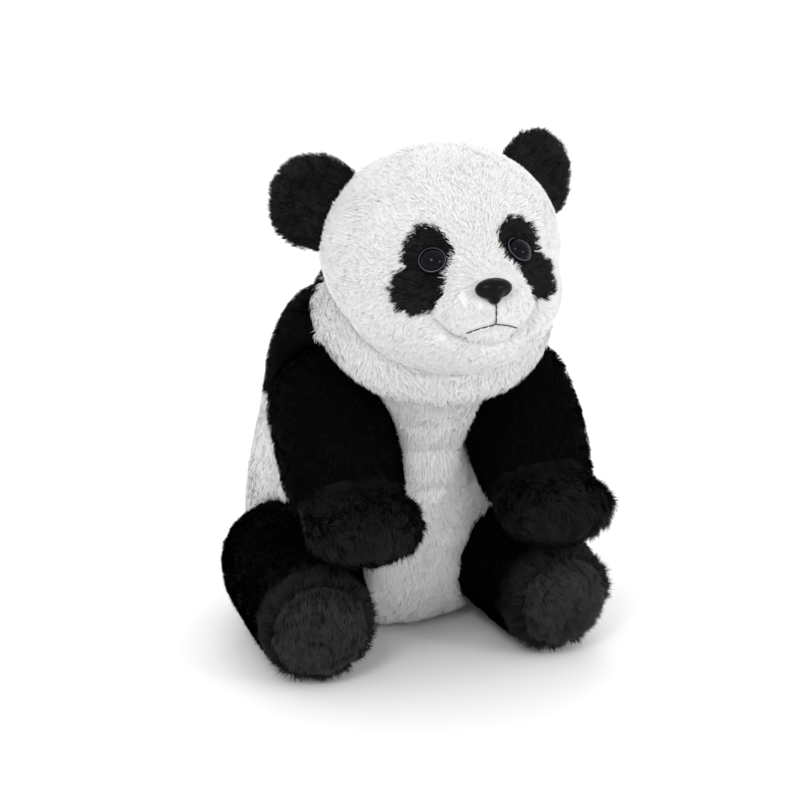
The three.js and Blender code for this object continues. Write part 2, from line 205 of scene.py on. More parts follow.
# %% Which panels each body is sewn from, and the bodies beside it
SIDES = {"left": 1, "right": -1}
BODY = ["belly_panel", "back_panel", "shoulder_yoke", "seat_panel"]
HEAD = ["head_gusset", "head_side_left", "head_side_right", "muzzle_panel", "chin_panel"]
HEAD += ["eye_patch_left", "eye_patch_right"]
SEWN_FROM = {"torso": BODY, "head": HEAD}
BESIDE = {
    "torso": ["head", "arm_left", "arm_right", "leg_left", "leg_right"],
    "head": ["torso", "ear_left", "ear_right"],
}
for word in SIDES:
    SEWN_FROM[f"ear_{word}"] = [f"ear_front_{word}", f"ear_back_{word}"]
    SEWN_FROM[f"arm_{word}"] = [f"arm_sleeve_{word}", f"paw_back_{word}", f"paw_palm_{word}"]
    SEWN_FROM[f"leg_{word}"] = [f"leg_sleeve_{word}", f"foot_{word}", f"foot_sole_{word}"]
    BESIDE[f"ear_{word}"] = ["head"]
    BESIDE[f"arm_{word}"] = ["torso", f"leg_{word}"]
    BESIDE[f"leg_{word}"] = ["torso", f"arm_{word}"]


def to_neighbours(points, body):
    """How far each point is from the panels of the bodies beside it."""
    return distances(points, [p for other in BESIDE[body] for p in SEWN_FROM[other]]).min(0)


# %% Which plush each panel is cut from
CUT_FROM = {
    "belly_panel": "white",
    "back_panel": "white",
    "seat_panel": "white",
    "shoulder_yoke": "black",
    "head_gusset": "face",
    "head_side": "face",
    "muzzle_panel": "muzzle",
    "chin_panel": "muzzle",
    "eye_patch": "patch",
    "ear_front": "ear",
    "ear_back": "ear",
    "arm_sleeve": "black",
    "leg_sleeve": "black",
    "paw_back": "shaggy",
    "paw_palm": "shaggy",
    "foot": "shaggy",
    "foot_sole": "sole",
}


def cut_of(panel):
    return CUT_FROM[panel.removesuffix("_left").removesuffix("_right")]


# How far a skin is drawn in, in millimetres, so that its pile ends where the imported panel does.
PILE_DEPTH = {"white": 2.0, "face": 1.7, "muzzle": 1.4, "black": 1.8}
PILE_DEPTH |= {"patch": 2.2, "ear": 2.6, "shaggy": 4.6, "sole": 3.4}

# %% Blowing up a skin with its seams held
PRESSURE, STRETCHY, LIGHT = 4, 2, 0.0003
LAST_FRAME = 20
TOUCHING, FREE = 3 * MM, 14 * MM  # a skin is drawn in fully only where its neighbours are this far
SEWN, LOOSE = 1.5 * MM, 5 * MM  # the cloth is held this near a seam


def blown_up(piece, held, cap):
    scene = bpy.context.scene
    before = points_of(piece)
    group = piece.vertex_groups.new(name="seam")
    for weight in (0.5, 1.0):
        group.add([int(i) for i in np.nonzero(held >= weight)[0]], weight, "REPLACE")
    cloth = piece.modifiers.new("cloth", "CLOTH")
    settings = cloth.settings
    settings.quality = 4
    settings.mass = LIGHT
    settings.tension_stiffness = settings.compression_stiffness = STRETCHY
    settings.shear_stiffness = STRETCHY / 2
    settings.use_pressure = True
    settings.uniform_pressure_force = PRESSURE
    settings.effector_weights.gravity = 0
    settings.vertex_group_mass = group.name
    cloth.point_cache.frame_start, cloth.point_cache.frame_end = 1, LAST_FRAME
    for number in range(1, LAST_FRAME + 1):
        scene.frame_set(number)
    alone(piece)
    bpy.ops.object.modifier_apply(modifier=cloth.name)
    scene.frame_set(1)
    grown = points_of(piece) - before
    far = length_of(grown)
    grown *= np.minimum(1, cap / np.maximum(far, 1e-9))[:, None]
    move_points(piece, before + grown)
    piece.vertex_groups.clear()
    return float(far.mean())


def stuffed(body, inside, voxel=4 * MM, cap=3 * MM, even=10):
    """A stuffed skin, drawn in by the depth of its pile except where it meets its neighbours."""
    panels = SEWN_FROM[body]
    piece = joined_copy(f"{body}_skin", [*panels, *inside])
    worked(piece, "REMESH", mode="VOXEL", voxel_size=voxel)
    worked(piece, "SMOOTH", factor=0.5, iterations=even)
    points = points_of(piece)
    depths = np.array([PILE_DEPTH[cut_of(panel)] for panel in panels]) * MM
    apart = smoothstep(to_neighbours(points, body), TOUCHING, FREE)
    depth = depths[panels_at(points, panels)[0]] * apart
    move_points(piece, points - points_of(piece, "vector") * depth[:, None])
    swelled = 0.0
    seam = panels_at(points_of(piece), panels)[1]
    held = 1 - smoothstep(seam, SEWN, LOOSE)
    swelled = blown_up(piece, held, cap)
    worked(piece, "SUBSURF", levels=1, render_levels=1)
    worked(piece, "SMOOTH", factor=0.5, iterations=3)
    bpy.ops.object.shade_smooth()
    print(f"{body}: {len(piece.data.polygons)} faces, swelled {swelled / MM:.1f} mm")
    return piece


# %% [markdown]
# ## Creases
#
# A filled skin still folds where it bends: over the belly and under the chin. Each fold is a soft groove
# along a line, pressed into the finished skin along its normals.


# %% Pressing a groove
def to_line(points, line):
    """How far each point is from a line through these places."""
    nearest = np.full(len(points), np.inf)
    for a, b in zip(line[:-1], line[1:], strict=True):
        a, b = np.array(a), np.array(b)
        t = np.clip(((points - a) @ (b - a)) / ((b - a) @ (b - a)), 0, 1)
        nearest = np.minimum(nearest, length_of(points - a - t[:, None] * (b - a)))
    return nearest


def pressed(piece, press):
    """Moves each point in along its normal by its own depth."""
    move_points(piece, points_of(piece) - points_of(piece, "vector") * press[:, None])


IN_FRONT = -400 * MM


def front_of(piece, places):
    """Where lines of sight from the front, at these (x, z) places, first meet the piece."""
    tree = tree_of(piece.data)
    found = []
    for x, z in places:
        hit, facing, _, _ = tree.ray_cast(Vector((x, IN_FRONT, z)), Vector((0, 1, 0)))
        found.append((hit, facing))
    return found


def groove(piece, places, depth, width):
    """A soft groove across the front of a piece, through (x, z) places in millimetres."""
    line = [hit for hit, _ in front_of(piece, [(x * MM, z * MM) for x, z in places])]
    pressed(piece, depth * MM * np.exp(-((to_line(points_of(piece), line) / (width * MM)) ** 2)))


# %% [markdown]
# ## The skins
#
# The body, the head, the ears, the arms and the legs are stuffed one by one. The ears are thin, so they
# take a finer remesh and swell less.

# %% Stuffing the skins
INSIDE = {"torso": ["torso_stuffing", "pellet_pouch"], "head": ["head_stuffing"]}
skins = {}
for body in SEWN_FROM:
    if body.startswith("ear"):
        skins[body] = stuffed(body, [], voxel=3 * MM, cap=1 * MM, even=3)
    else:
        inside = INSIDE.setdefault(body, ["{}_stuffing_{}".format(*body.split("_"))] if "_" in body else [])
        skins[body] = stuffed(body, inside, voxel=5 * MM if body == "torso" else 4 * MM)

# %% [markdown]
# ## Folds and full places
#
# The belly has four shallow folds where the body slumps, the chin one under the mouth, and each sole is
# drawn in along its seam with a pucker across it. The filling is packed fuller behind the neck, at the
# top of the chest, in the jaw and at the hips. The roots of the ears sink into the head.

# %% Folds of the belly, the chin and the soles
BELLY_FOLDS = [  # (x, z) places, depth and width in millimetres
    ([(-40, 137), (-20, 131), (0, 133), (20, 130), (42, 136)], 2.2, 4.5),
    ([(-48, 108), (-24, 103), (4, 106), (26, 102), (46, 107)], 2.0, 4.0),
    ([(-30, 77), (-8, 74), (14, 77), (34, 73)], 1.6, 4.0),
    ([(-34, 160), (-10, 154), (14, 155), (36, 161)], 1.4, 4.0),
]
CHIN_FOLD = [(-34, 10), (-20, -3), (0, -8), (20, -3), (34, 10)], 5.0, 5.0  # from the middle of the mouth
SOLE_PUCKER = [(-3, -12), (1, 0), (6, 14)], 1.8, 4.0  # from the middle of the sole
SOLE_SEAM = {"deep": 2.0 * MM, "wide": 4 * MM}


def moved(places, x, z):
    return [(x + right, z + up) for right, up in places]


for places, depth, width in BELLY_FOLDS:
    groove(skins["torso"], places, depth, width)
lips_low, lips_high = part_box("mouth_stitch")
lip_x, lip_z = (lips_low.x + lips_high.x) / 2 / MM, lips_low.z / MM
places, depth, width = CHIN_FOLD
groove(skins["head"], moved(places, lip_x, lip_z), depth, width)
for word in SIDES:
    leg = skins[f"leg_{word}"]
    here = points_of(leg)
    foot, sole = distances(here, [f"foot_{word}", f"foot_sole_{word}"])
    pressed(leg, SOLE_SEAM["deep"] * np.exp(-(((foot - sole) / SOLE_SEAM["wide"]) ** 2)))
    x, _, z = middle(f"foot_sole_{word}") / MM
    places, depth, width = SOLE_PUCKER
    groove(leg, moved(places, x, z), depth, width)
print("folds:", len(BELLY_FOLDS), "on the belly, one under the chin and one on each sole")


# %% Where the filling is packed fuller, and the roots of the ears
def fuller(piece, at, reach, by):
    """A soft swelling of a skin round a place, all in millimetres."""
    far = length_of((points_of(piece) - np.array(at) * MM) / (np.array(reach) * MM))
    pressed(piece, -by * MM * np.exp(-(far**2)))


fuller(skins["torso"], at=(-18, 2, 206), reach=(78, 55, 48), by=17)  # behind the neck
fuller(skins["head"], at=(5, -146, 208), reach=(64, 44, 26), by=10)  # the jaw
fuller(skins["torso"], at=(5, -108, 176), reach=(44, 40, 32), by=16)  # the top of the chest
EAR_ROOT = {"near": 2 * MM, "far": 18 * MM, "in": 9 * MM, "fuller": 1.5 * MM}
for word, side in SIDES.items():
    fuller(skins[f"leg_{word}"], at=(112 * side, -32, 62), reach=(46, 52, 40), by=6)  # the hip
    ear = skins[f"ear_{word}"]
    to_head = to_neighbours(points_of(ear), f"ear_{word}")
    near = 1 - smoothstep(to_head, EAR_ROOT["near"], EAR_ROOT["far"])
    inward = unit(middle("head_stuffing") - points_of(ear))
    move_points(ear, points_of(ear) + inward * (near * EAR_ROOT["in"])[:, None])
    pressed(ear, np.full(len(near), -EAR_ROOT["fuller"]))

# What the folds and swellings pushed below the floor lies flat on it.
ON_FLOOR = 0.3 * MM
for skin in skins.values():
    points = points_of(skin)
    points[:, 2] = np.maximum(points[:, 2], ON_FLOOR)
    move_points(skin, points)
print("the skins reach down to", round(min(points_of(s)[:, 2].min() for s in skins.values()) / MM, 2), "mm")

# %% [markdown]
# ## The collar
#
# Under the head the real fabric bunches into a soft roll, which squeezes on one side and opens on the other
# when the head nods. A ring round the neck's axis stands for it.

# %% The collar
turn = next(j for j in frame["joints"] if j["name"] == "head_turn")
NECK, NECK_AXIS = Vector(turn["pos_m"]), Vector(turn["axis"]).normalized()
COLLAR = {"around": 54 * MM, "thick": 12 * MM, "wide": 1.14, "tall": 1.25, "down": 2 * MM}
COLLAR["white_to"] = 14 * MM  # white in front of this place behind the pivot, and black behind it
BIB = np.array((0, 5 * MM, -9 * MM))  # how far the front of its foot runs down on the chest


def along_neck(height):
    return NECK + NECK_AXIS * height


bpy.ops.object.select_all(action="DESELECT")
bpy.ops.mesh.primitive_torus_add(
    major_radius=COLLAR["around"], minor_radius=COLLAR["thick"], major_segments=96, minor_segments=24
)
collar = bpy.context.object
collar.name = "neck_skin"
stand = NECK_AXIS.to_track_quat("Z", "Y").to_matrix().to_4x4()
wider = Matrix.Diagonal((COLLAR["wide"], 1, COLLAR["tall"], 1))
collar.data.transform(Matrix.Translation(along_neck(-COLLAR["down"])) @ stand @ wider)
ring = points_of(collar)
# Only the front of the foot moves: both shares fall softly to nothing behind the pivot and above it.
front = 1 - smoothstep(ring[:, 1], NECK.y - 45 * MM, NECK.y + 5 * MM)
low = 1 - smoothstep((ring - np.array(NECK)) @ np.array(NECK_AXIS), -12 * MM, 6 * MM)
ring += (front * low)[:, None] * BIB
ring[:, 1] += front * 3 * MM
move_points(collar, ring)
bpy.ops.object.shade_smooth()
skins["neck"] = collar
SEWN_FROM["neck"] = ["belly_panel", "shoulder_yoke"]
BESIDE["neck"] = []
print("collar:", len(collar.data.polygons), "faces")

# %% [markdown]
# ## Plush colours
#
# Plush is a knitted ground with a pile of fine fibres. Deep between the fibres little light comes back, so
# each strand runs from a darker root to a lighter tip, and no two strands are quite alike. One node group
# makes that colour from the strand's own map: across it runs the strand's shade and along it the way from
# root to tip. The skins below use a second group, with grain and soft blotches in Object coordinates.


# %% A node group with named sockets
def new_group(name, inputs, outputs):
    group = bpy.data.node_groups.new(name, "ShaderNodeTree")
    for label, kind, value in inputs:
        socket = group.interface.new_socket(label, in_out="INPUT", socket_type=kind)
        socket.default_value = value
    for label, kind in outputs:
        group.interface.new_socket(label, in_out="OUTPUT", socket_type=kind)
    start = group.nodes.new("NodeGroupInput")
    end = group.nodes.new("NodeGroupOutput")
    return group, start, end


def node(tree, kind, **settings):
    made = tree.nodes.new("ShaderNode" + kind)
    for key, value in settings.items():
        if key in made.inputs:
            made.inputs[key].default_value = value
        else:
            setattr(made, key, value)
    return made


def mixed(tree, factor, a, b):
    """A colour mix whose three inputs are sockets or values."""
    made = tree.nodes.new("ShaderNodeMix")
    made.data_type = "RGBA"
    for index, value in ((0, factor), (6, a), (7, b)):
        if isinstance(value, bpy.types.NodeSocket):
            tree.links.new(value, made.inputs[index])
        else:
            made.inputs[index].default_value = value
    return made.outputs[2]


def ramp(tree, value, *stops):
    """A value ramp through (place, value) stops."""
    made = tree.nodes.new("ShaderNodeValToRGB")
    elements = made.color_ramp.elements
    while len(elements) < len(stops):
        elements.new(0.5)
    for element, (place, level) in zip(elements, stops, strict=True):
        element.position = place
        element.color = (level, level, level, 1)
    tree.links.new(value, made.inputs["Fac"])
    return made.outputs["Color"]


# %% The strand colour group
COLOR, FLOAT = "NodeSocketColor", "NodeSocketFloat"
STRAND_MAP = "OFBake"

strand_colour, start, end = new_group(
    "strand_colour",
    [("Shaded Root", COLOR, (0, 0, 0, 1)), ("Tip", COLOR, (1, 1, 1, 1)), ("Pale", COLOR, (1, 1, 1, 1))],
    [("Color", COLOR)],
)
links = strand_colour.links
where = node(strand_colour, "UVMap", uv_map=STRAND_MAP)
split = node(strand_colour, "SeparateXYZ")
links.new(where.outputs["UV"], split.inputs["Vector"])
# Along the strand the colour runs from the painted shade at its root to its tip.
along = ramp(strand_colour, split.outputs["Y"], (0.0, 0.0), (0.35, 0.35), (1.0, 1.0))
shade = ramp(strand_colour, split.outputs["X"], (0.0, 0.0), (1.0, 1.0))
body_colour = mixed(strand_colour, shade, start.outputs["Tip"], start.outputs["Pale"])
links.new(mixed(strand_colour, along, start.outputs["Shaded Root"], body_colour), end.inputs["Color"])
print("group:", strand_colour.name, "of", len(strand_colour.nodes), "nodes")

# %% The knitted ground group
ground_colour, start, end = new_group(
    "ground_colour",
    [
        ("Dark", COLOR, (0, 0, 0, 1)),
        ("Light", COLOR, (1, 1, 1, 1)),
        ("Blotch", FLOAT, 30.0),
        ("Grain", FLOAT, 900.0),
    ],
    [("Color", COLOR), ("Height", FLOAT)],
)
links = ground_colour.links
place = node(ground_colour, "TexCoord")
blotch = node(ground_colour, "TexNoise", Detail=3.0, Roughness=0.6)
grain = node(ground_colour, "TexNoise", Detail=2.0, Roughness=0.7)
for texture, size in ((blotch, "Blotch"), (grain, "Grain")):
    links.new(place.outputs["Object"], texture.inputs["Vector"])
    links.new(start.outputs[size], texture.inputs["Scale"])
both = mixed(ground_colour, 0.5, blotch.outputs["Color"], grain.outputs["Color"])
depth = ramp(ground_colour, both, (0.3, 0.0), (0.7, 1.0))
shades = mixed(ground_colour, depth, start.outputs["Dark"], start.outputs["Light"])
links.new(shades, end.inputs["Color"])
links.new(grain.outputs["Fac"], end.inputs["Height"])
print("group:", ground_colour.name, "of", len(ground_colour.nodes), "nodes")

# %% [markdown]
# ## The finishes
#
# Five plushes make the toy. The white one is warm and darker at its roots, the darkness a painted shade for
# the depth of the pile, and nearly pure at its tips. The black one is short and swallows light, so it has
# almost no shine. The shaggy one on paws, feet and ears is greyer: its pale strands are a painted sheen for
# the light its laid fibres catch along their sides. The eye patches are in between, and the soles have a
# short grey nap.


# %% Plush materials
def plain(name, **sockets):
    """A material with one Principled shader, and its own constants on that shader."""
    material = bpy.data.materials.new(name)
    material.use_nodes = True
    shader = material.node_tree.nodes["Principled BSDF"]
    for key, value in sockets.items():
        shader.inputs[key.replace("_", " ")].default_value = value
    return material, material.node_tree, shader


def plush(name, root, tip, pale, sheen, shine, roughness=0.85):
    """The strands' material and the ground's material of one plush."""
    look = dict(Sheen_Weight=sheen, Sheen_Roughness=0.45, Specular_IOR_Level=shine, Roughness=roughness)
    pile, tree, shader = plain(name + "_pile", **look)
    colour = node(tree, "Group", node_tree=strand_colour)
    # The root colour is a painted shade: the strand's colour darkened for the little light that comes back
    # deep in the pile.
    for key, value in (("Shaded Root", root), ("Tip", tip), ("Pale", pale)):
        colour.inputs[key].default_value = (*value, 1)
    tree.links.new(colour.outputs["Color"], shader.inputs["Base Color"])
    ground, tree, shader = plain(name + "_ground", **look)
    colour = node(tree, "Group", node_tree=ground_colour)
    # The ground takes the roots' painted shade, with random blotches a little darker still.
    colour.inputs["Dark"].default_value = (*(c * 0.8 for c in root), 1)
    colour.inputs["Light"].default_value = (*root, 1)
    bump = node(tree, "Bump", Strength=0.4, Distance=0.5 * MM)
    tree.links.new(colour.outputs["Height"], bump.inputs["Height"])
    tree.links.new(bump.outputs["Normal"], shader.inputs["Normal"])
    tree.links.new(colour.outputs["Color"], shader.inputs["Base Color"])
    return pile, ground


WHITE = plush("white_plush", (0.80, 0.795, 0.785), (0.85, 0.85, 0.85), (0.88, 0.88, 0.88), 0.08, 0.08)
BLACK = plush("black_plush", (0.001, 0.001, 0.001), (0.003, 0.0028, 0.0035), (0.007, 0.0065, 0.008), 0, 0.03)
# The shaggy plush's pale strands are a painted sheen, for the light its laid fibres catch along their sides.
SHAGGY = plush(
    "shaggy_plush", (0.001, 0.001, 0.001), (0.0045, 0.004, 0.005), (0.028, 0.026, 0.029), 0.01, 0.08, 0.6
)
PATCH = plush(
    "patch_plush", (0.002, 0.002, 0.002), (0.007, 0.0065, 0.0075), (0.024, 0.022, 0.025), 0.02, 0.1, 0.7
)
SOLE = plush(
    "sole_plush", (0.004, 0.004, 0.004), (0.020, 0.019, 0.020), (0.055, 0.053, 0.055), 0.04, 0.12, 0.6
)
print("plushes:", [m[0].name for m in (WHITE, BLACK, SHAGGY, PATCH, SOLE)])

# %% The piles
# Each pile: plush, strand length, how far it is laid over in degrees, strand width, strands in a tuft,
# tufts to a square millimetre, the tuft's radius, how much its tips close up, and how unruly it is.
PILES = {
    "white": (WHITE, 4.4, 62, 0.44, 12, 0.118, 2.8, 0.0, 0.24),
    "face": (WHITE, 3.7, 62, 0.38, 14, 0.160, 2.8, 0.0, 0.14),
    "muzzle": (WHITE, 3.2, 66, 0.36, 14, 0.180, 2.4, 0.0, 0.15),
    "black": (BLACK, 3.4, 52, 0.46, 9, 0.118, 2.6, 0.0, 0.6),
    "patch": (PATCH, 3.8, 60, 0.40, 12, 0.230, 1.8, 0.15, 0.7),
    "ear": (SHAGGY, 3.8, 48, 0.40, 14, 0.200, 2.4, 0.05, 0.6),
    "shaggy": (SHAGGY, 7.0, 52, 0.40, 16, 0.140, 2.8, 0.25, 0.9),
    "sole": (SOLE, 4.6, 58, 0.42, 14, 0.160, 2.4, 0.25, 0.9),
}

# %% [markdown]
# ## How the pile lies
#
# A panda's pile is combed: away from the nose on the head, down over the body, along each limb and out
# round each sole. A strand starts upright at its root and lies over toward its tip. Soft noise turns the
# comb here and there, and on the shaggy plush the strands of one tuft close up at their tips. Where another
# part of the toy lies close, the strands are shorter, as they are pressed there.


# %% The comb's direction
nose_at = middle("nose")


def comb(points, panel):
    kind = panel.removesuffix("_left").removesuffix("_right")
    word = "left" if panel.endswith("left") else "right"
    if kind not in BODY and cut_of(panel) in ("face", "muzzle", "patch"):
        way = unit(points - nose_at) + np.array((0, 0, -0.25))  # away from the nose and a little down
    elif kind in BODY:
        way = np.tile((0.0, -0.1, -1.0), (len(points), 1))  # down, and slightly forward
    elif kind.startswith("ear"):
        way = points - middle("head_stuffing")
    elif kind.startswith(("arm", "paw")):
        beyond_paw = middle(f"paw_palm_{word}") + np.array((0, -60 * MM, -20 * MM))
        way = beyond_paw - points
    elif kind == "foot_sole":
        way = np.tile((0.15, 0.0, -1.0), (len(points), 1))
    elif kind == "foot":
        way = unit(points - middle(f"foot_sole_{word}")) + np.array((0, -0.35, 0))
    else:
        beyond_foot = middle(f"foot_sole_{word}") + np.array((0, -80 * MM, 0))
        way = beyond_foot - points
    return unit(way)


def drift(points, size, seed):
    """Soft noise, one value a point, from about -1 to 1."""
    shift = Vector((seed * 13.7, seed * 5.1, seed * 9.3))
    return np.array([noise.noise(Vector(p) / size + shift) for p in points.tolist()]) * 2


# %% Sowing tufts on a skin
def sown(piece, per_square_mm, chosen, rng):
    """Places and normals spread evenly over the chosen faces."""
    mesh = piece.data
    mesh.calc_loop_triangles()
    count = len(mesh.loop_triangles)
    corners, face = np.empty(count * 3, np.int32), np.empty(count, np.int32)
    mesh.loop_triangles.foreach_get("vertices", corners)
    mesh.loop_triangles.foreach_get("polygon_index", face)
    wanted = chosen[face]
    corners = corners.reshape(-1, 3)[wanted]
    points, normals = points_of(piece), points_of(piece, "vector")
    a, b, c = (points[corners[:, i]] for i in range(3))
    area = length_of(np.cross(b - a, c - a)) / 2
    number = np.floor(area / MM**2 * per_square_mm + rng.random(len(area))).astype(int)
    row = np.repeat(np.arange(len(area)), number)
    u, v = rng.random(len(row)), rng.random(len(row))
    over = u + v > 1
    u[over], v[over] = 1 - u[over], 1 - v[over]
    weights = np.stack([1 - u - v, u, v], 1)[..., None]
    at = (np.stack([a[row], b[row], c[row]], 1) * weights).sum(1)
    facing = unit((normals[corners[row]] * weights).sum(1))
    return at, facing, area.sum()


# %% Strands from tufts
def turned(vectors, axes, angles):
    """Each vector turned about its unit axis."""
    c, s = np.cos(angles)[:, None], np.sin(angles)[:, None]
    dot = (vectors * axes).sum(-1, keepdims=True)
    return vectors * c + np.cross(axes, vectors) * s + axes * dot * (1 - c)


# How a pile varies: softly over this size of place, and again from tuft to tuft.
COMBING = {"size": 22 * MM, "soft": 0.55, "tuft": 0.22}  # radians
LAYING = {"size": 14 * MM, "soft": 9, "tuft": 6}  # degrees, on the most unruly pile
TONING = {"size": 30 * MM, "soft": 0.25, "tuft": 0.16}  # shade, from 0 to 1


def varied(at, how, seed, rng):
    return how["soft"] * drift(at, how["size"], seed) + how["tuft"] * rng.standard_normal(len(at))


def strands(at, facing, way, reach, form, rng):
    """Corner points, normals and shades of the strands of these tufts, five points a strand."""
    _, length, laid, width, number, _, radius, closing, unruly = form
    flat = unit(way - facing * (way * facing).sum(-1, keepdims=True))
    flat = turned(flat, facing, varied(at, COMBING, 1, rng))
    tilt = np.radians(laid + unruly * varied(at, LAYING, 2, rng))
    tall = length * MM * reach * (1 + 0.12 * unruly * rng.standard_normal(len(at)))
    lie = facing * np.cos(tilt)[:, None] + flat * np.sin(tilt)[:, None]
    tone = np.clip(0.5 + varied(at, TONING, 3, rng), 0, 1)

    def each(values):
        return np.repeat(values, number, axis=0)

    at, facing, lie, flat, tall, tone = map(each, (at, facing, lie, flat, tall, tone))
    count = len(at)
    aside = np.cross(facing, flat)
    angle, out = rng.random(count) * 2 * math.pi, np.sqrt(rng.random(count))[:, None] * radius * MM
    offset = (flat * np.cos(angle)[:, None] + aside * np.sin(angle)[:, None]) * out
    tall = (tall * (1 + 0.18 * rng.standard_normal(count)))[:, None]
    lie = unit(lie + 0.15 * unruly * rng.standard_normal((count, 3)))
    root = at + offset - facing * 0.6 * MM
    tip = at + offset * (1 - closing) + lie * tall
    bend = root + (unit(lie + facing * 0.9) * tall * 0.5) + (tip - root - lie * tall) * 0.3
    broad = unit(np.cross(tip - root, facing))
    broad = turned(broad, unit(tip - root), rng.standard_normal(count) * 0.35)
    half = broad * (width * MM / 2 * (0.8 + 0.4 * rng.random((count, 1))))
    corners = np.stack([root - half, root + half, bend + half * 0.85, bend - half * 0.85, tip], 1)
    corners[..., 2] = np.maximum(corners[..., 2], ON_FLOOR)
    shining = 0.45 * unit(np.cross(broad, tip - root)) + 0.1 * rng.standard_normal((count, 3))
    look = unit(facing + unruly * shining)
    shade = np.clip(tone + 0.15 * rng.standard_normal(count), 0.03, 0.97)
    return corners, look, shade


# %% Strands as a mesh
MOST_STRANDS = 64_000  # of three triangles each, which keeps a piece under 200,000
STRAND_FACES = np.array([0, 1, 2, 3, 3, 2, 4])
STRAND_ALONG = np.array([0.02, 0.02, 0.5, 0.5, 0.5, 0.5, 0.98])
STRAND_ACROSS = np.array([-1, 1, 1, -1, -1, 1, 0]) * 0.012  # the map's width, so no face of it is a line


def strand_mesh(name, corners, look, shade, material):
    count = len(corners)
    mesh = bpy.data.meshes.new(name)
    mesh.vertices.add(count * 5)
    mesh.vertices.foreach_set("co", corners.astype(np.float32).ravel())
    mesh.loops.add(count * 7)
    index = (np.arange(count)[:, None] * 5 + STRAND_FACES).astype(np.int32)
    mesh.loops.foreach_set("vertex_index", index.ravel())
    mesh.polygons.add(count * 2)
    begins = (np.arange(count)[:, None] * 7 + np.array([0, 4])).astype(np.int32)
    mesh.polygons.foreach_set("loop_start", begins.ravel())
    across = shade[:, None] + STRAND_ACROSS
    along = np.tile(STRAND_ALONG, (count, 1))
    layer = mesh.uv_layers.new(name=STRAND_MAP)
    layer.uv.foreach_set("vector", np.stack([across, along], -1).astype(np.float32).ravel())
    mesh.update(calc_edges=True)
    mesh.shade_smooth()
    mesh.normals_split_custom_set_from_vertices(np.repeat(look, 5, axis=0).astype(np.float32))
    mesh.materials.append(material)
    piece = bpy.data.objects.new(name, mesh)
    bpy.context.collection.objects.link(piece)
    return piece


# %% [markdown]
# ## Growing the pile
#
# Every panel gets its own pile, cut into pieces of a size that other tools can open. Where a neighbour on
# another body is near, such as an arm in its shoulder, the strands are shortened to fit the room.

# %% Room for a strand
CLOSE, CLEAR, LEAST = 2 * MM, 9 * MM, 0.5
HIDDEN = 0.45, 0.65  # where neighbours press this hard, fewer strands are sown
FACE = ["eye_left", "eye_right", "nose", "mouth_stitch"]
BARE, SHORT, FULL = 1 * MM, 0.4, 6 * MM  # no strand this near an eye, short ones next, full from here
CUFF, CUFF_WIDTH = 0.45, 20 * MM  # how short the shaggy plush starts at the sleeve, and how soon it's full


def room(at, body, index):
    """The share of its length that a strand keeps, by how near the neighbours are. 0 is no strand."""
    share = np.ones(len(at))
    if BESIDE[body]:
        share = LEAST + (1 - LEAST) * smoothstep(to_neighbours(at, body), CLOSE, CLEAR)
    if index and body.startswith(("arm", "leg")):  # the shaggy plush starts short at the sleeve
        to_sleeve = distances(at, [SEWN_FROM[body][0]])[0]
        share *= CUFF + (1 - CUFF) * smoothstep(to_sleeve, 1 * MM, CUFF_WIDTH)
    if body == "head":
        apart = distances(at, FACE).min(0)
        share *= np.where(apart < BARE, 0, SHORT + (1 - SHORT) * smoothstep(apart, BARE, FULL))
    return share


# %% Growing it
SHARE = 1.0
THINNED = 0.3  # the share of strands that grow where neighbours press hardest
SLOTS = {"white": "white_plush", "face": "white_plush", "muzzle": "white_plush"}
SLOTS |= {"black": "black_plush", "patch": "patch_plush"}


def attach(piece, body):
    if body == "neck":
        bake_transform(piece)
    else:
        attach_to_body(piece, body)


total = 0
for number, (body, skin) in enumerate(skins.items()):
    rng = np.random.default_rng(100 + number)
    panels = SEWN_FROM[body]
    faces = np.empty(len(skin.data.polygons) * 3, np.float32)
    skin.data.polygons.foreach_get("center", faces)
    panel_at = panels_at(faces.reshape(-1, 3).astype(float), panels)[0]
    if body == "neck":
        panel_at = (faces.reshape(-1, 3)[:, 1] > NECK.y + COLLAR["white_to"]).astype(int)
    grounds = []
    for index, panel in enumerate(panels):
        form = PILES[cut_of(panel)]
        if form[0][1] not in grounds:
            grounds.append(form[0][1])
            skin.data.materials.append(form[0][1])
        at, facing, area = sown(skin, form[5] * SHARE, panel_at == index, rng)
        reach = room(at, body, index)
        chance = smoothstep(reach, *HIDDEN) * (1 - THINNED) + THINNED * (reach > 0)
        kept = rng.random(len(reach)) < chance
        at, facing, reach = at[kept], facing[kept], reach[kept]
        corners, look, shade = strands(at, facing, comb(at, panel), reach, form, rng)
        # On the arms and legs the shaggy strands keep less of their painted sheen where they are short, by
        # the sleeve.
        if form[0] is SHAGGY and body.startswith(("arm", "leg")):  # darker where it is short
            shade = shade * np.repeat(smoothstep(reach, 0.4, 1.0), form[4]) * 0.9 + 0.05
        pieces = math.ceil(len(corners) / MOST_STRANDS)
        for k in range(pieces):
            label = f"pile_{panel}" if body != "neck" else f"pile_neck_{cut_of(panel)}"
            label += f"_{k + 1}" if pieces > 1 else ""
            some = slice(k, None, pieces)
            pile = strand_mesh(label, corners[some], look[some], shade[some], form[0][0])
            attach(pile, body)
        total += len(corners)
        print(f"{panel}: {area / MM**2:.0f} square mm, {len(corners)} strands")
    slots = np.array([grounds.index(PILES[cut_of(p)][0][1]) for p in panels])[panel_at]
    skin.data.polygons.foreach_set("material_index", slots.astype(np.int32))
    skin.data.update()
print("strands in all:", total, "triangles:", total * 3)

# %% Skins ride on their bodies and stand for their panels
for body, skin in skins.items():
    attach(skin, body)
    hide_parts(*(["neck_band"] if body == "neck" else SEWN_FROM[body] + INSIDE.get(body, [])))
print("skins:", [skin.name for skin in skins.values()])
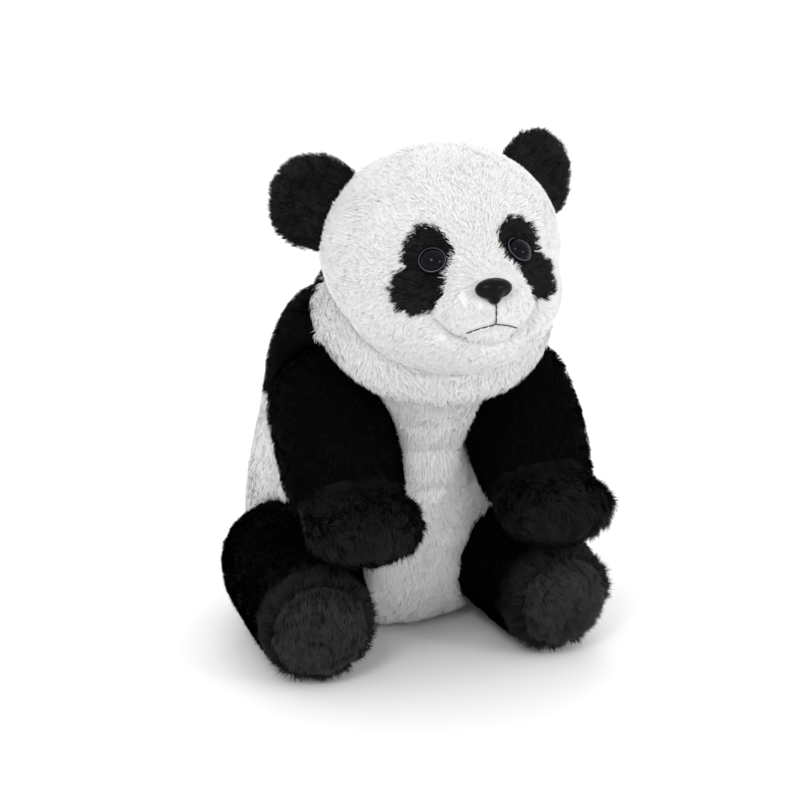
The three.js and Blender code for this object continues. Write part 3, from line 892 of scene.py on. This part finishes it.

# %% [markdown]
# ## Eyes and nose
#
# Safety eyes are turned shapes: a dome over a thin rim that stands on the fabric, so a profile is spun
# round their own axis. That axis runs from the washer behind the fabric through the imported eye's middle.
# A thin pale ring round each dome is a painted reflection of the light that its rim catches at a grazing
# angle. All this plastic is moulded and polished, so its materials share one node group and differ in
# colour, polish and shine.
#
# The nose is moulded: a wide rounded bridge with a small lobe under it, so two balls are joined, remeshed
# into one skin and smoothed.


# %% A spun piece
def spun(name, profile, around=64):
    """A closed turned mesh from (radius, height) points, about its own Z."""
    mesh = bpy.data.meshes.new(name)
    mesh.from_pydata([(r, 0, h) for r, h in profile], [(i, i + 1) for i in range(len(profile) - 1)], [])
    piece = bpy.data.objects.new(name, mesh)
    bpy.context.collection.objects.link(piece)
    alone(piece)
    bpy.ops.object.mode_set(mode="EDIT")
    bpy.ops.mesh.select_all(action="SELECT")
    bpy.ops.mesh.spin(steps=around, angle=2 * math.pi, center=(0, 0, 0), axis=(0, 0, 1))
    bpy.ops.mesh.select_all(action="SELECT")
    bpy.ops.mesh.remove_doubles(threshold=0.001 * MM)
    bpy.ops.mesh.normals_make_consistent(inside=False)
    bpy.ops.object.mode_set(mode="OBJECT")
    bpy.ops.object.shade_smooth()
    return piece


def axis_of(plastic, washer):
    """The direction that a packed eye or nose looks in, and its outermost place along it."""
    points = np.array([v.co for v in nodes[plastic].data.vertices])
    start = middle(washer)
    way = unit(points.mean(0) - start)
    reach = (points - start) @ way
    return Vector(way), Vector(start + way * reach.max())


def settle(piece, at, way):
    """Puts a piece made at the origin in its place, with its Z along this way and its Y up."""
    side = Vector((0, 0, 1)).cross(way).normalized()
    turn = Matrix((side, way.cross(side), way)).transposed().to_4x4()
    piece.data.transform(Matrix.Translation(at) @ turn)
    piece.data.update()


# %% The moulded plastic group
moulded_plastic, start, end = new_group(
    "moulded_plastic",
    [
        ("Dark", COLOR, (0, 0, 0, 1)),
        ("Light", COLOR, (1, 1, 1, 1)),
        ("Polished", FLOAT, 0.1),
        ("Dull", FLOAT, 0.2),
        ("Ripple", FLOAT, 250.0),
    ],
    [("Color", COLOR), ("Roughness", FLOAT), ("Height", FLOAT)],
)
links = moulded_plastic.links
place = node(moulded_plastic, "TexCoord")
ripple = node(moulded_plastic, "TexNoise", Detail=3.0)
links.new(place.outputs["Object"], ripple.inputs["Vector"])
links.new(start.outputs["Ripple"], ripple.inputs["Scale"])
polish = node(moulded_plastic, "MapRange")
polish.inputs["From Min"].default_value = 0.3
polish.inputs["From Max"].default_value = 0.7
for source, socket in (
    (ripple.outputs["Fac"], "Value"),
    (start.outputs["Polished"], "To Min"),
    (start.outputs["Dull"], "To Max"),
):
    links.new(source, polish.inputs[socket])
shades = mixed(moulded_plastic, ripple.outputs["Fac"], start.outputs["Dark"], start.outputs["Light"])
links.new(shades, end.inputs["Color"])
links.new(polish.outputs["Result"], end.inputs["Roughness"])
links.new(ripple.outputs["Fac"], end.inputs["Height"])
print("group:", moulded_plastic.name, "of", len(moulded_plastic.nodes), "nodes")


# %% Gloss plastics
def gloss(name, colour, roughness, shine, ripple):
    """Moulded plastic, black but for the eye ring's pale painted reflection: its polish varies a little, and
    its skin isn't perfectly flat.
    """
    material, tree, shader = plain(name, Specular_IOR_Level=shine)
    look = node(tree, "Group", node_tree=moulded_plastic)
    values = {"Dark": (*(c * 0.6 for c in colour), 1), "Light": (*colour, 1), "Ripple": ripple}
    values |= {"Polished": roughness * 0.7, "Dull": roughness * 1.3}
    for key, value in values.items():
        look.inputs[key].default_value = value
    bump = node(tree, "Bump", Strength=0.05, Distance=0.2 * MM)
    tree.links.new(look.outputs["Height"], bump.inputs["Height"])
    tree.links.new(bump.outputs["Normal"], shader.inputs["Normal"])
    tree.links.new(look.outputs["Roughness"], shader.inputs["Roughness"])
    tree.links.new(look.outputs["Color"], shader.inputs["Base Color"])
    return material


EYE_GLOSS = gloss("eye_gloss", (0.0015, 0.002, 0.004), 0.06, 0.10, 250)
# The ring's pale blue-grey is a painted reflection of the light at the dome's rim.
PAINTED_REFLECTION_RING = gloss("eye_painted_reflection_ring_gloss", (0.09, 0.105, 0.13), 0.12, 0.35, 250)
NOSE_GLOSS = gloss("nose_gloss", (0.002, 0.002, 0.002), 0.28, 0.11, 500)
print("plastics:", [m.name for m in (EYE_GLOSS, PAINTED_REFLECTION_RING, NOSE_GLOSS)])

# %% Eyes
EYE = {"radius": 7.6 * MM, "dome": 5.4 * MM, "rim": 0.9 * MM}
RING = {"outside": 0.1 * MM, "thick": 0.27 * MM, "height": 0.75 * MM}
for word in SIDES:
    r, h, rim = EYE["radius"], EYE["dome"], EYE["rim"]
    arc = [math.radians(a) for a in range(0, 91, 6)]
    foot = [(0, -1.5 * MM), (r, -1.5 * MM), (r + rim * 0.7, -0.8 * MM)]
    lip = [(r + rim, -0.1 * MM), (r + rim * 0.8, 0.45 * MM), (r + rim * 0.3, 0.62 * MM), (r, 0.35 * MM)]
    dome = [((r - 0.15 * MM) * math.cos(a), 0.2 * MM + h * math.sin(a)) for a in arc[:-1]]
    eye = spun(f"eye_dome_{word}", [*foot, *lip, *dome, (0, 0.2 * MM + h)])
    way, top = axis_of(f"eye_{word}", f"eye_washer_{word}")
    settle(eye, top - way * h, way)
    eye.data.materials.append(EYE_GLOSS)
    # The ring is a pale torus round the dome, a painted reflection.
    bpy.ops.mesh.primitive_torus_add(
        major_radius=r + RING["outside"], minor_radius=RING["thick"], major_segments=64, minor_segments=10
    )
    ring = bpy.context.object
    ring.name = f"eye_painted_reflection_ring_{word}"
    ring.data.transform(Matrix.Translation((0, 0, RING["height"])))
    settle(ring, top - way * h, way)
    bpy.ops.object.shade_smooth()
    ring.data.materials.append(PAINTED_REFLECTION_RING)
    for piece in (eye, ring):
        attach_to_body(piece, "head")
    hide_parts(f"eye_{word}")
print("eyes look along", [round(v, 2) for v in way])

# %% Nose
BRIDGE = {"at": (0, 1.0 * MM, -2 * MM), "half": (11.2 * MM, 6.3 * MM, 7.0 * MM)}
LOBE = {"at": (0, -4.6 * MM, -2.5 * MM), "half": (3.6 * MM, 3.6 * MM, 5.6 * MM)}
NOSTRIL = {"at": (6.2 * MM, -3.4 * MM, 3.0 * MM), "reach": 2.8 * MM, "deep": 0.9 * MM}
NOSE_FRONT = 5.2 * MM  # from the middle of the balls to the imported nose's front


def rounded_union(name, balls, voxel):
    """Balls of their own half sizes, joined and remeshed into one skin."""
    bpy.ops.object.select_all(action="DESELECT")
    made = []
    for ball in balls:
        bpy.ops.mesh.primitive_uv_sphere_add(segments=48, ring_count=24, radius=1)
        made.append(bpy.context.object)
        made[-1].data.transform(Matrix.Translation(ball["at"]) @ Matrix.Diagonal((*ball["half"], 1)))
    for piece in made:
        piece.select_set(True)
    bpy.ops.object.join()
    piece = bpy.context.object
    piece.name = name
    worked(piece, "REMESH", mode="VOXEL", voxel_size=voxel)
    worked(piece, "SMOOTH", factor=0.5, iterations=8)
    return piece


nose = rounded_union("nose_tip", [BRIDGE, LOBE], 0.6 * MM)
points = points_of(nose)
for side in SIDES.values():
    hole = np.array(NOSTRIL["at"]) * (side, 1, 1)
    press = NOSTRIL["deep"] * np.exp(-((length_of(points - hole) / NOSTRIL["reach"]) ** 2))
    points -= points_of(nose, "vector") * press[:, None]
move_points(nose, points)
bpy.ops.object.shade_smooth()
way, top = axis_of("nose", "nose_washer")
settle(nose, top - way * NOSE_FRONT, way)
nose.data.materials.append(NOSE_GLOSS)
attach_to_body(nose, "head")
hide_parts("nose")
print("nose:", len(nose.data.polygons), "faces")

# %% [markdown]
# ## The stitched mouth
#
# The mouth is sewn by hand with doubled black thread, one stitch after another, down from the nose and
# then out along both lips. Each stitch dips into the plush at its ends.

# %% Stitches
STITCH = {"long": 4.2 * MM, "gap": 0.2 * MM, "radius": 0.45 * MM, "above": 1.7 * MM, "dip": 0.4 * MM}
MOUTH = [(0, 0), (0.23, 0.16), (0.5, 0.28), (0.77, 0.16), (1, 0)]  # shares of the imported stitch's box


def stitched(name, places):
    """Short rounded threads end to end along a line on the face."""
    line = [(hit + facing * STITCH["above"], facing) for hit, facing in front_of(skins["head"], places)]
    lengths = [0.0]
    for (a, _), (b, _) in zip(line[:-1], line[1:], strict=True):
        lengths.append(lengths[-1] + (b - a).length)
    count = max(1, round(lengths[-1] / (STITCH["long"] + STITCH["gap"])))
    step = lengths[-1] / count

    def at(far):
        i = min(max(np.searchsorted(lengths, far) - 1, 0), len(line) - 2)
        share = (far - lengths[i]) / (lengths[i + 1] - lengths[i])
        return line[i][0].lerp(line[i + 1][0], share), line[i][1].lerp(line[i + 1][1], share)

    made = []
    for k in range(count):
        (a, out), (b, _) = at(k * step + STITCH["gap"] / 2), at((k + 1) * step - STITCH["gap"] / 2)
        bpy.ops.mesh.primitive_uv_sphere_add(segments=12, ring_count=10, radius=1)
        piece = bpy.context.object
        half = (b - a).length / 2
        piece.data.transform(Matrix.Diagonal((STITCH["radius"], STITCH["radius"], half, 1)))
        for v in piece.data.vertices:
            full = math.sqrt(max(0.0, 1 - (v.co.z / half) ** 2)) or 1
            v.co.x, v.co.y = (c / full * full**0.3 for c in (v.co.x, v.co.y))
        turn = (b - a).to_track_quat("Z", "Y").to_matrix().to_4x4()
        piece.data.transform(Matrix.Translation((a + b) / 2) @ turn)
        for v in piece.data.vertices:  # the ends dip into the plush
            share = min(1.0, abs((v.co - (a + b) / 2).dot((b - a).normalized())) / half)
            v.co -= out * STITCH["dip"] * share**2
        made.append(piece)
    for piece in made:
        piece.select_set(True)
    bpy.ops.object.join()
    piece = bpy.context.object
    piece.name = name
    bpy.ops.object.shade_smooth()
    return piece


span = lips_high - lips_low
lip = [(lips_low.x + u * span.x, lips_low.z + (v + 0.05) * span.z) for u, v in MOUTH]
fine_lip = []  # closer places, so that the thread follows the face between them
for (x0, z0), (x1, z1) in zip(lip[:-1], lip[1:], strict=True):
    fine_lip += [(x0 + (x1 - x0) * t, z0 + (z1 - z0) * t) for t in (0, 0.25, 0.5, 0.75)]
fine_lip.append(lip[-1])
drop = [(lip[2][0], lip[2][1] + (lips_high.z - lip[2][1]) * t) for t in (1, 0.75, 0.5, 0.25, 0)]
bpy.ops.object.select_all(action="DESELECT")
lips = stitched("mouth_stitches", fine_lip)
bpy.ops.object.select_all(action="DESELECT")
down = stitched("nose_stitches", drop)
thread, tree, shader = plain("black_thread", Roughness=0.6, Sheen_Weight=0.1)
place = node(tree, "TexCoord")
twist = node(tree, "TexWave", Scale=900.0, Distortion=1.0)
tree.links.new(place.outputs["Object"], twist.inputs["Vector"])
shades = mixed(tree, twist.outputs["Fac"], (0.005, 0.004, 0.005, 1), (0.03, 0.026, 0.028, 1))
tree.links.new(shades, shader.inputs["Base Color"])
bump = node(tree, "Bump", Strength=0.5, Distance=0.1 * MM)
tree.links.new(twist.outputs["Fac"], bump.inputs["Height"])
tree.links.new(bump.outputs["Normal"], shader.inputs["Normal"])
for piece in (lips, down):
    piece.data.materials.append(thread)
    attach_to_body(piece, "head")
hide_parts("mouth_stitch")
print("stitches:", len(lips.data.polygons) + len(down.data.polygons), "faces")

# %% Washers inside the head
uncoloured, tree, shader = plain("natural_plastic", Roughness=0.5)
place = node(tree, "TexCoord")
cloud = node(tree, "TexNoise", Scale=120.0)
tree.links.new(place.outputs["Object"], cloud.inputs["Vector"])
shades = mixed(tree, cloud.outputs["Fac"], (0.72, 0.71, 0.68, 1), (0.86, 0.86, 0.84, 1))
tree.links.new(shades, shader.inputs["Base Color"])
for name in ("nose_washer", "eye_washer_left", "eye_washer_right"):
    nodes[name].data.materials.clear()
    nodes[name].data.materials.append(uncoloured)
    print(name, "is left as packed, in", uncoloured.name)

# %% [markdown]
# ## The floor and the light
#
# The toy sits on a pale table under soft boxes: one high in front, a smaller and lower one from the other
# side, and a wide one behind that draws the edge of the black plush.


# %% Floor, lights and world
def soft_box(name, at, size, watts, toward=AIM):
    bpy.ops.object.light_add(type="AREA", location=at)
    light = bpy.context.object
    light.name = name
    light.data.shape = "RECTANGLE"
    light.data.size, light.data.size_y = size
    light.data.energy = watts
    light.rotation_euler = (Vector(toward) - Vector(at)).to_track_quat("-Z", "Y").to_euler()
    return light


bpy.ops.mesh.primitive_plane_add(size=8)
floor = bpy.context.object
floor.name = "floor"
paper, tree, shader = plain("pale_paper", Roughness=0.9, Specular_IOR_Level=0.1)
shader.inputs["Base Color"].default_value = (0.93, 0.93, 0.94, 1)
floor.data.materials.append(paper)

soft_box("key_light", (-0.9, -1.3, 1.5), (0.5, 0.5), 9)
soft_box("fill_light", (0.9, -1.4, 0.7), (0.4, 0.4), 4.5)
soft_box("back_light", (0.5, 1.2, 1.3), (1.2, 0.6), 7)
world = bpy.data.worlds.new("studio")
bpy.context.scene.world = world
world.use_nodes = True
world.node_tree.nodes["Background"].inputs["Color"].default_value = (1, 1, 1, 1)
world.node_tree.nodes["Background"].inputs["Strength"].default_value = 1.08
bpy.context.scene.view_settings.view_transform = "Standard"
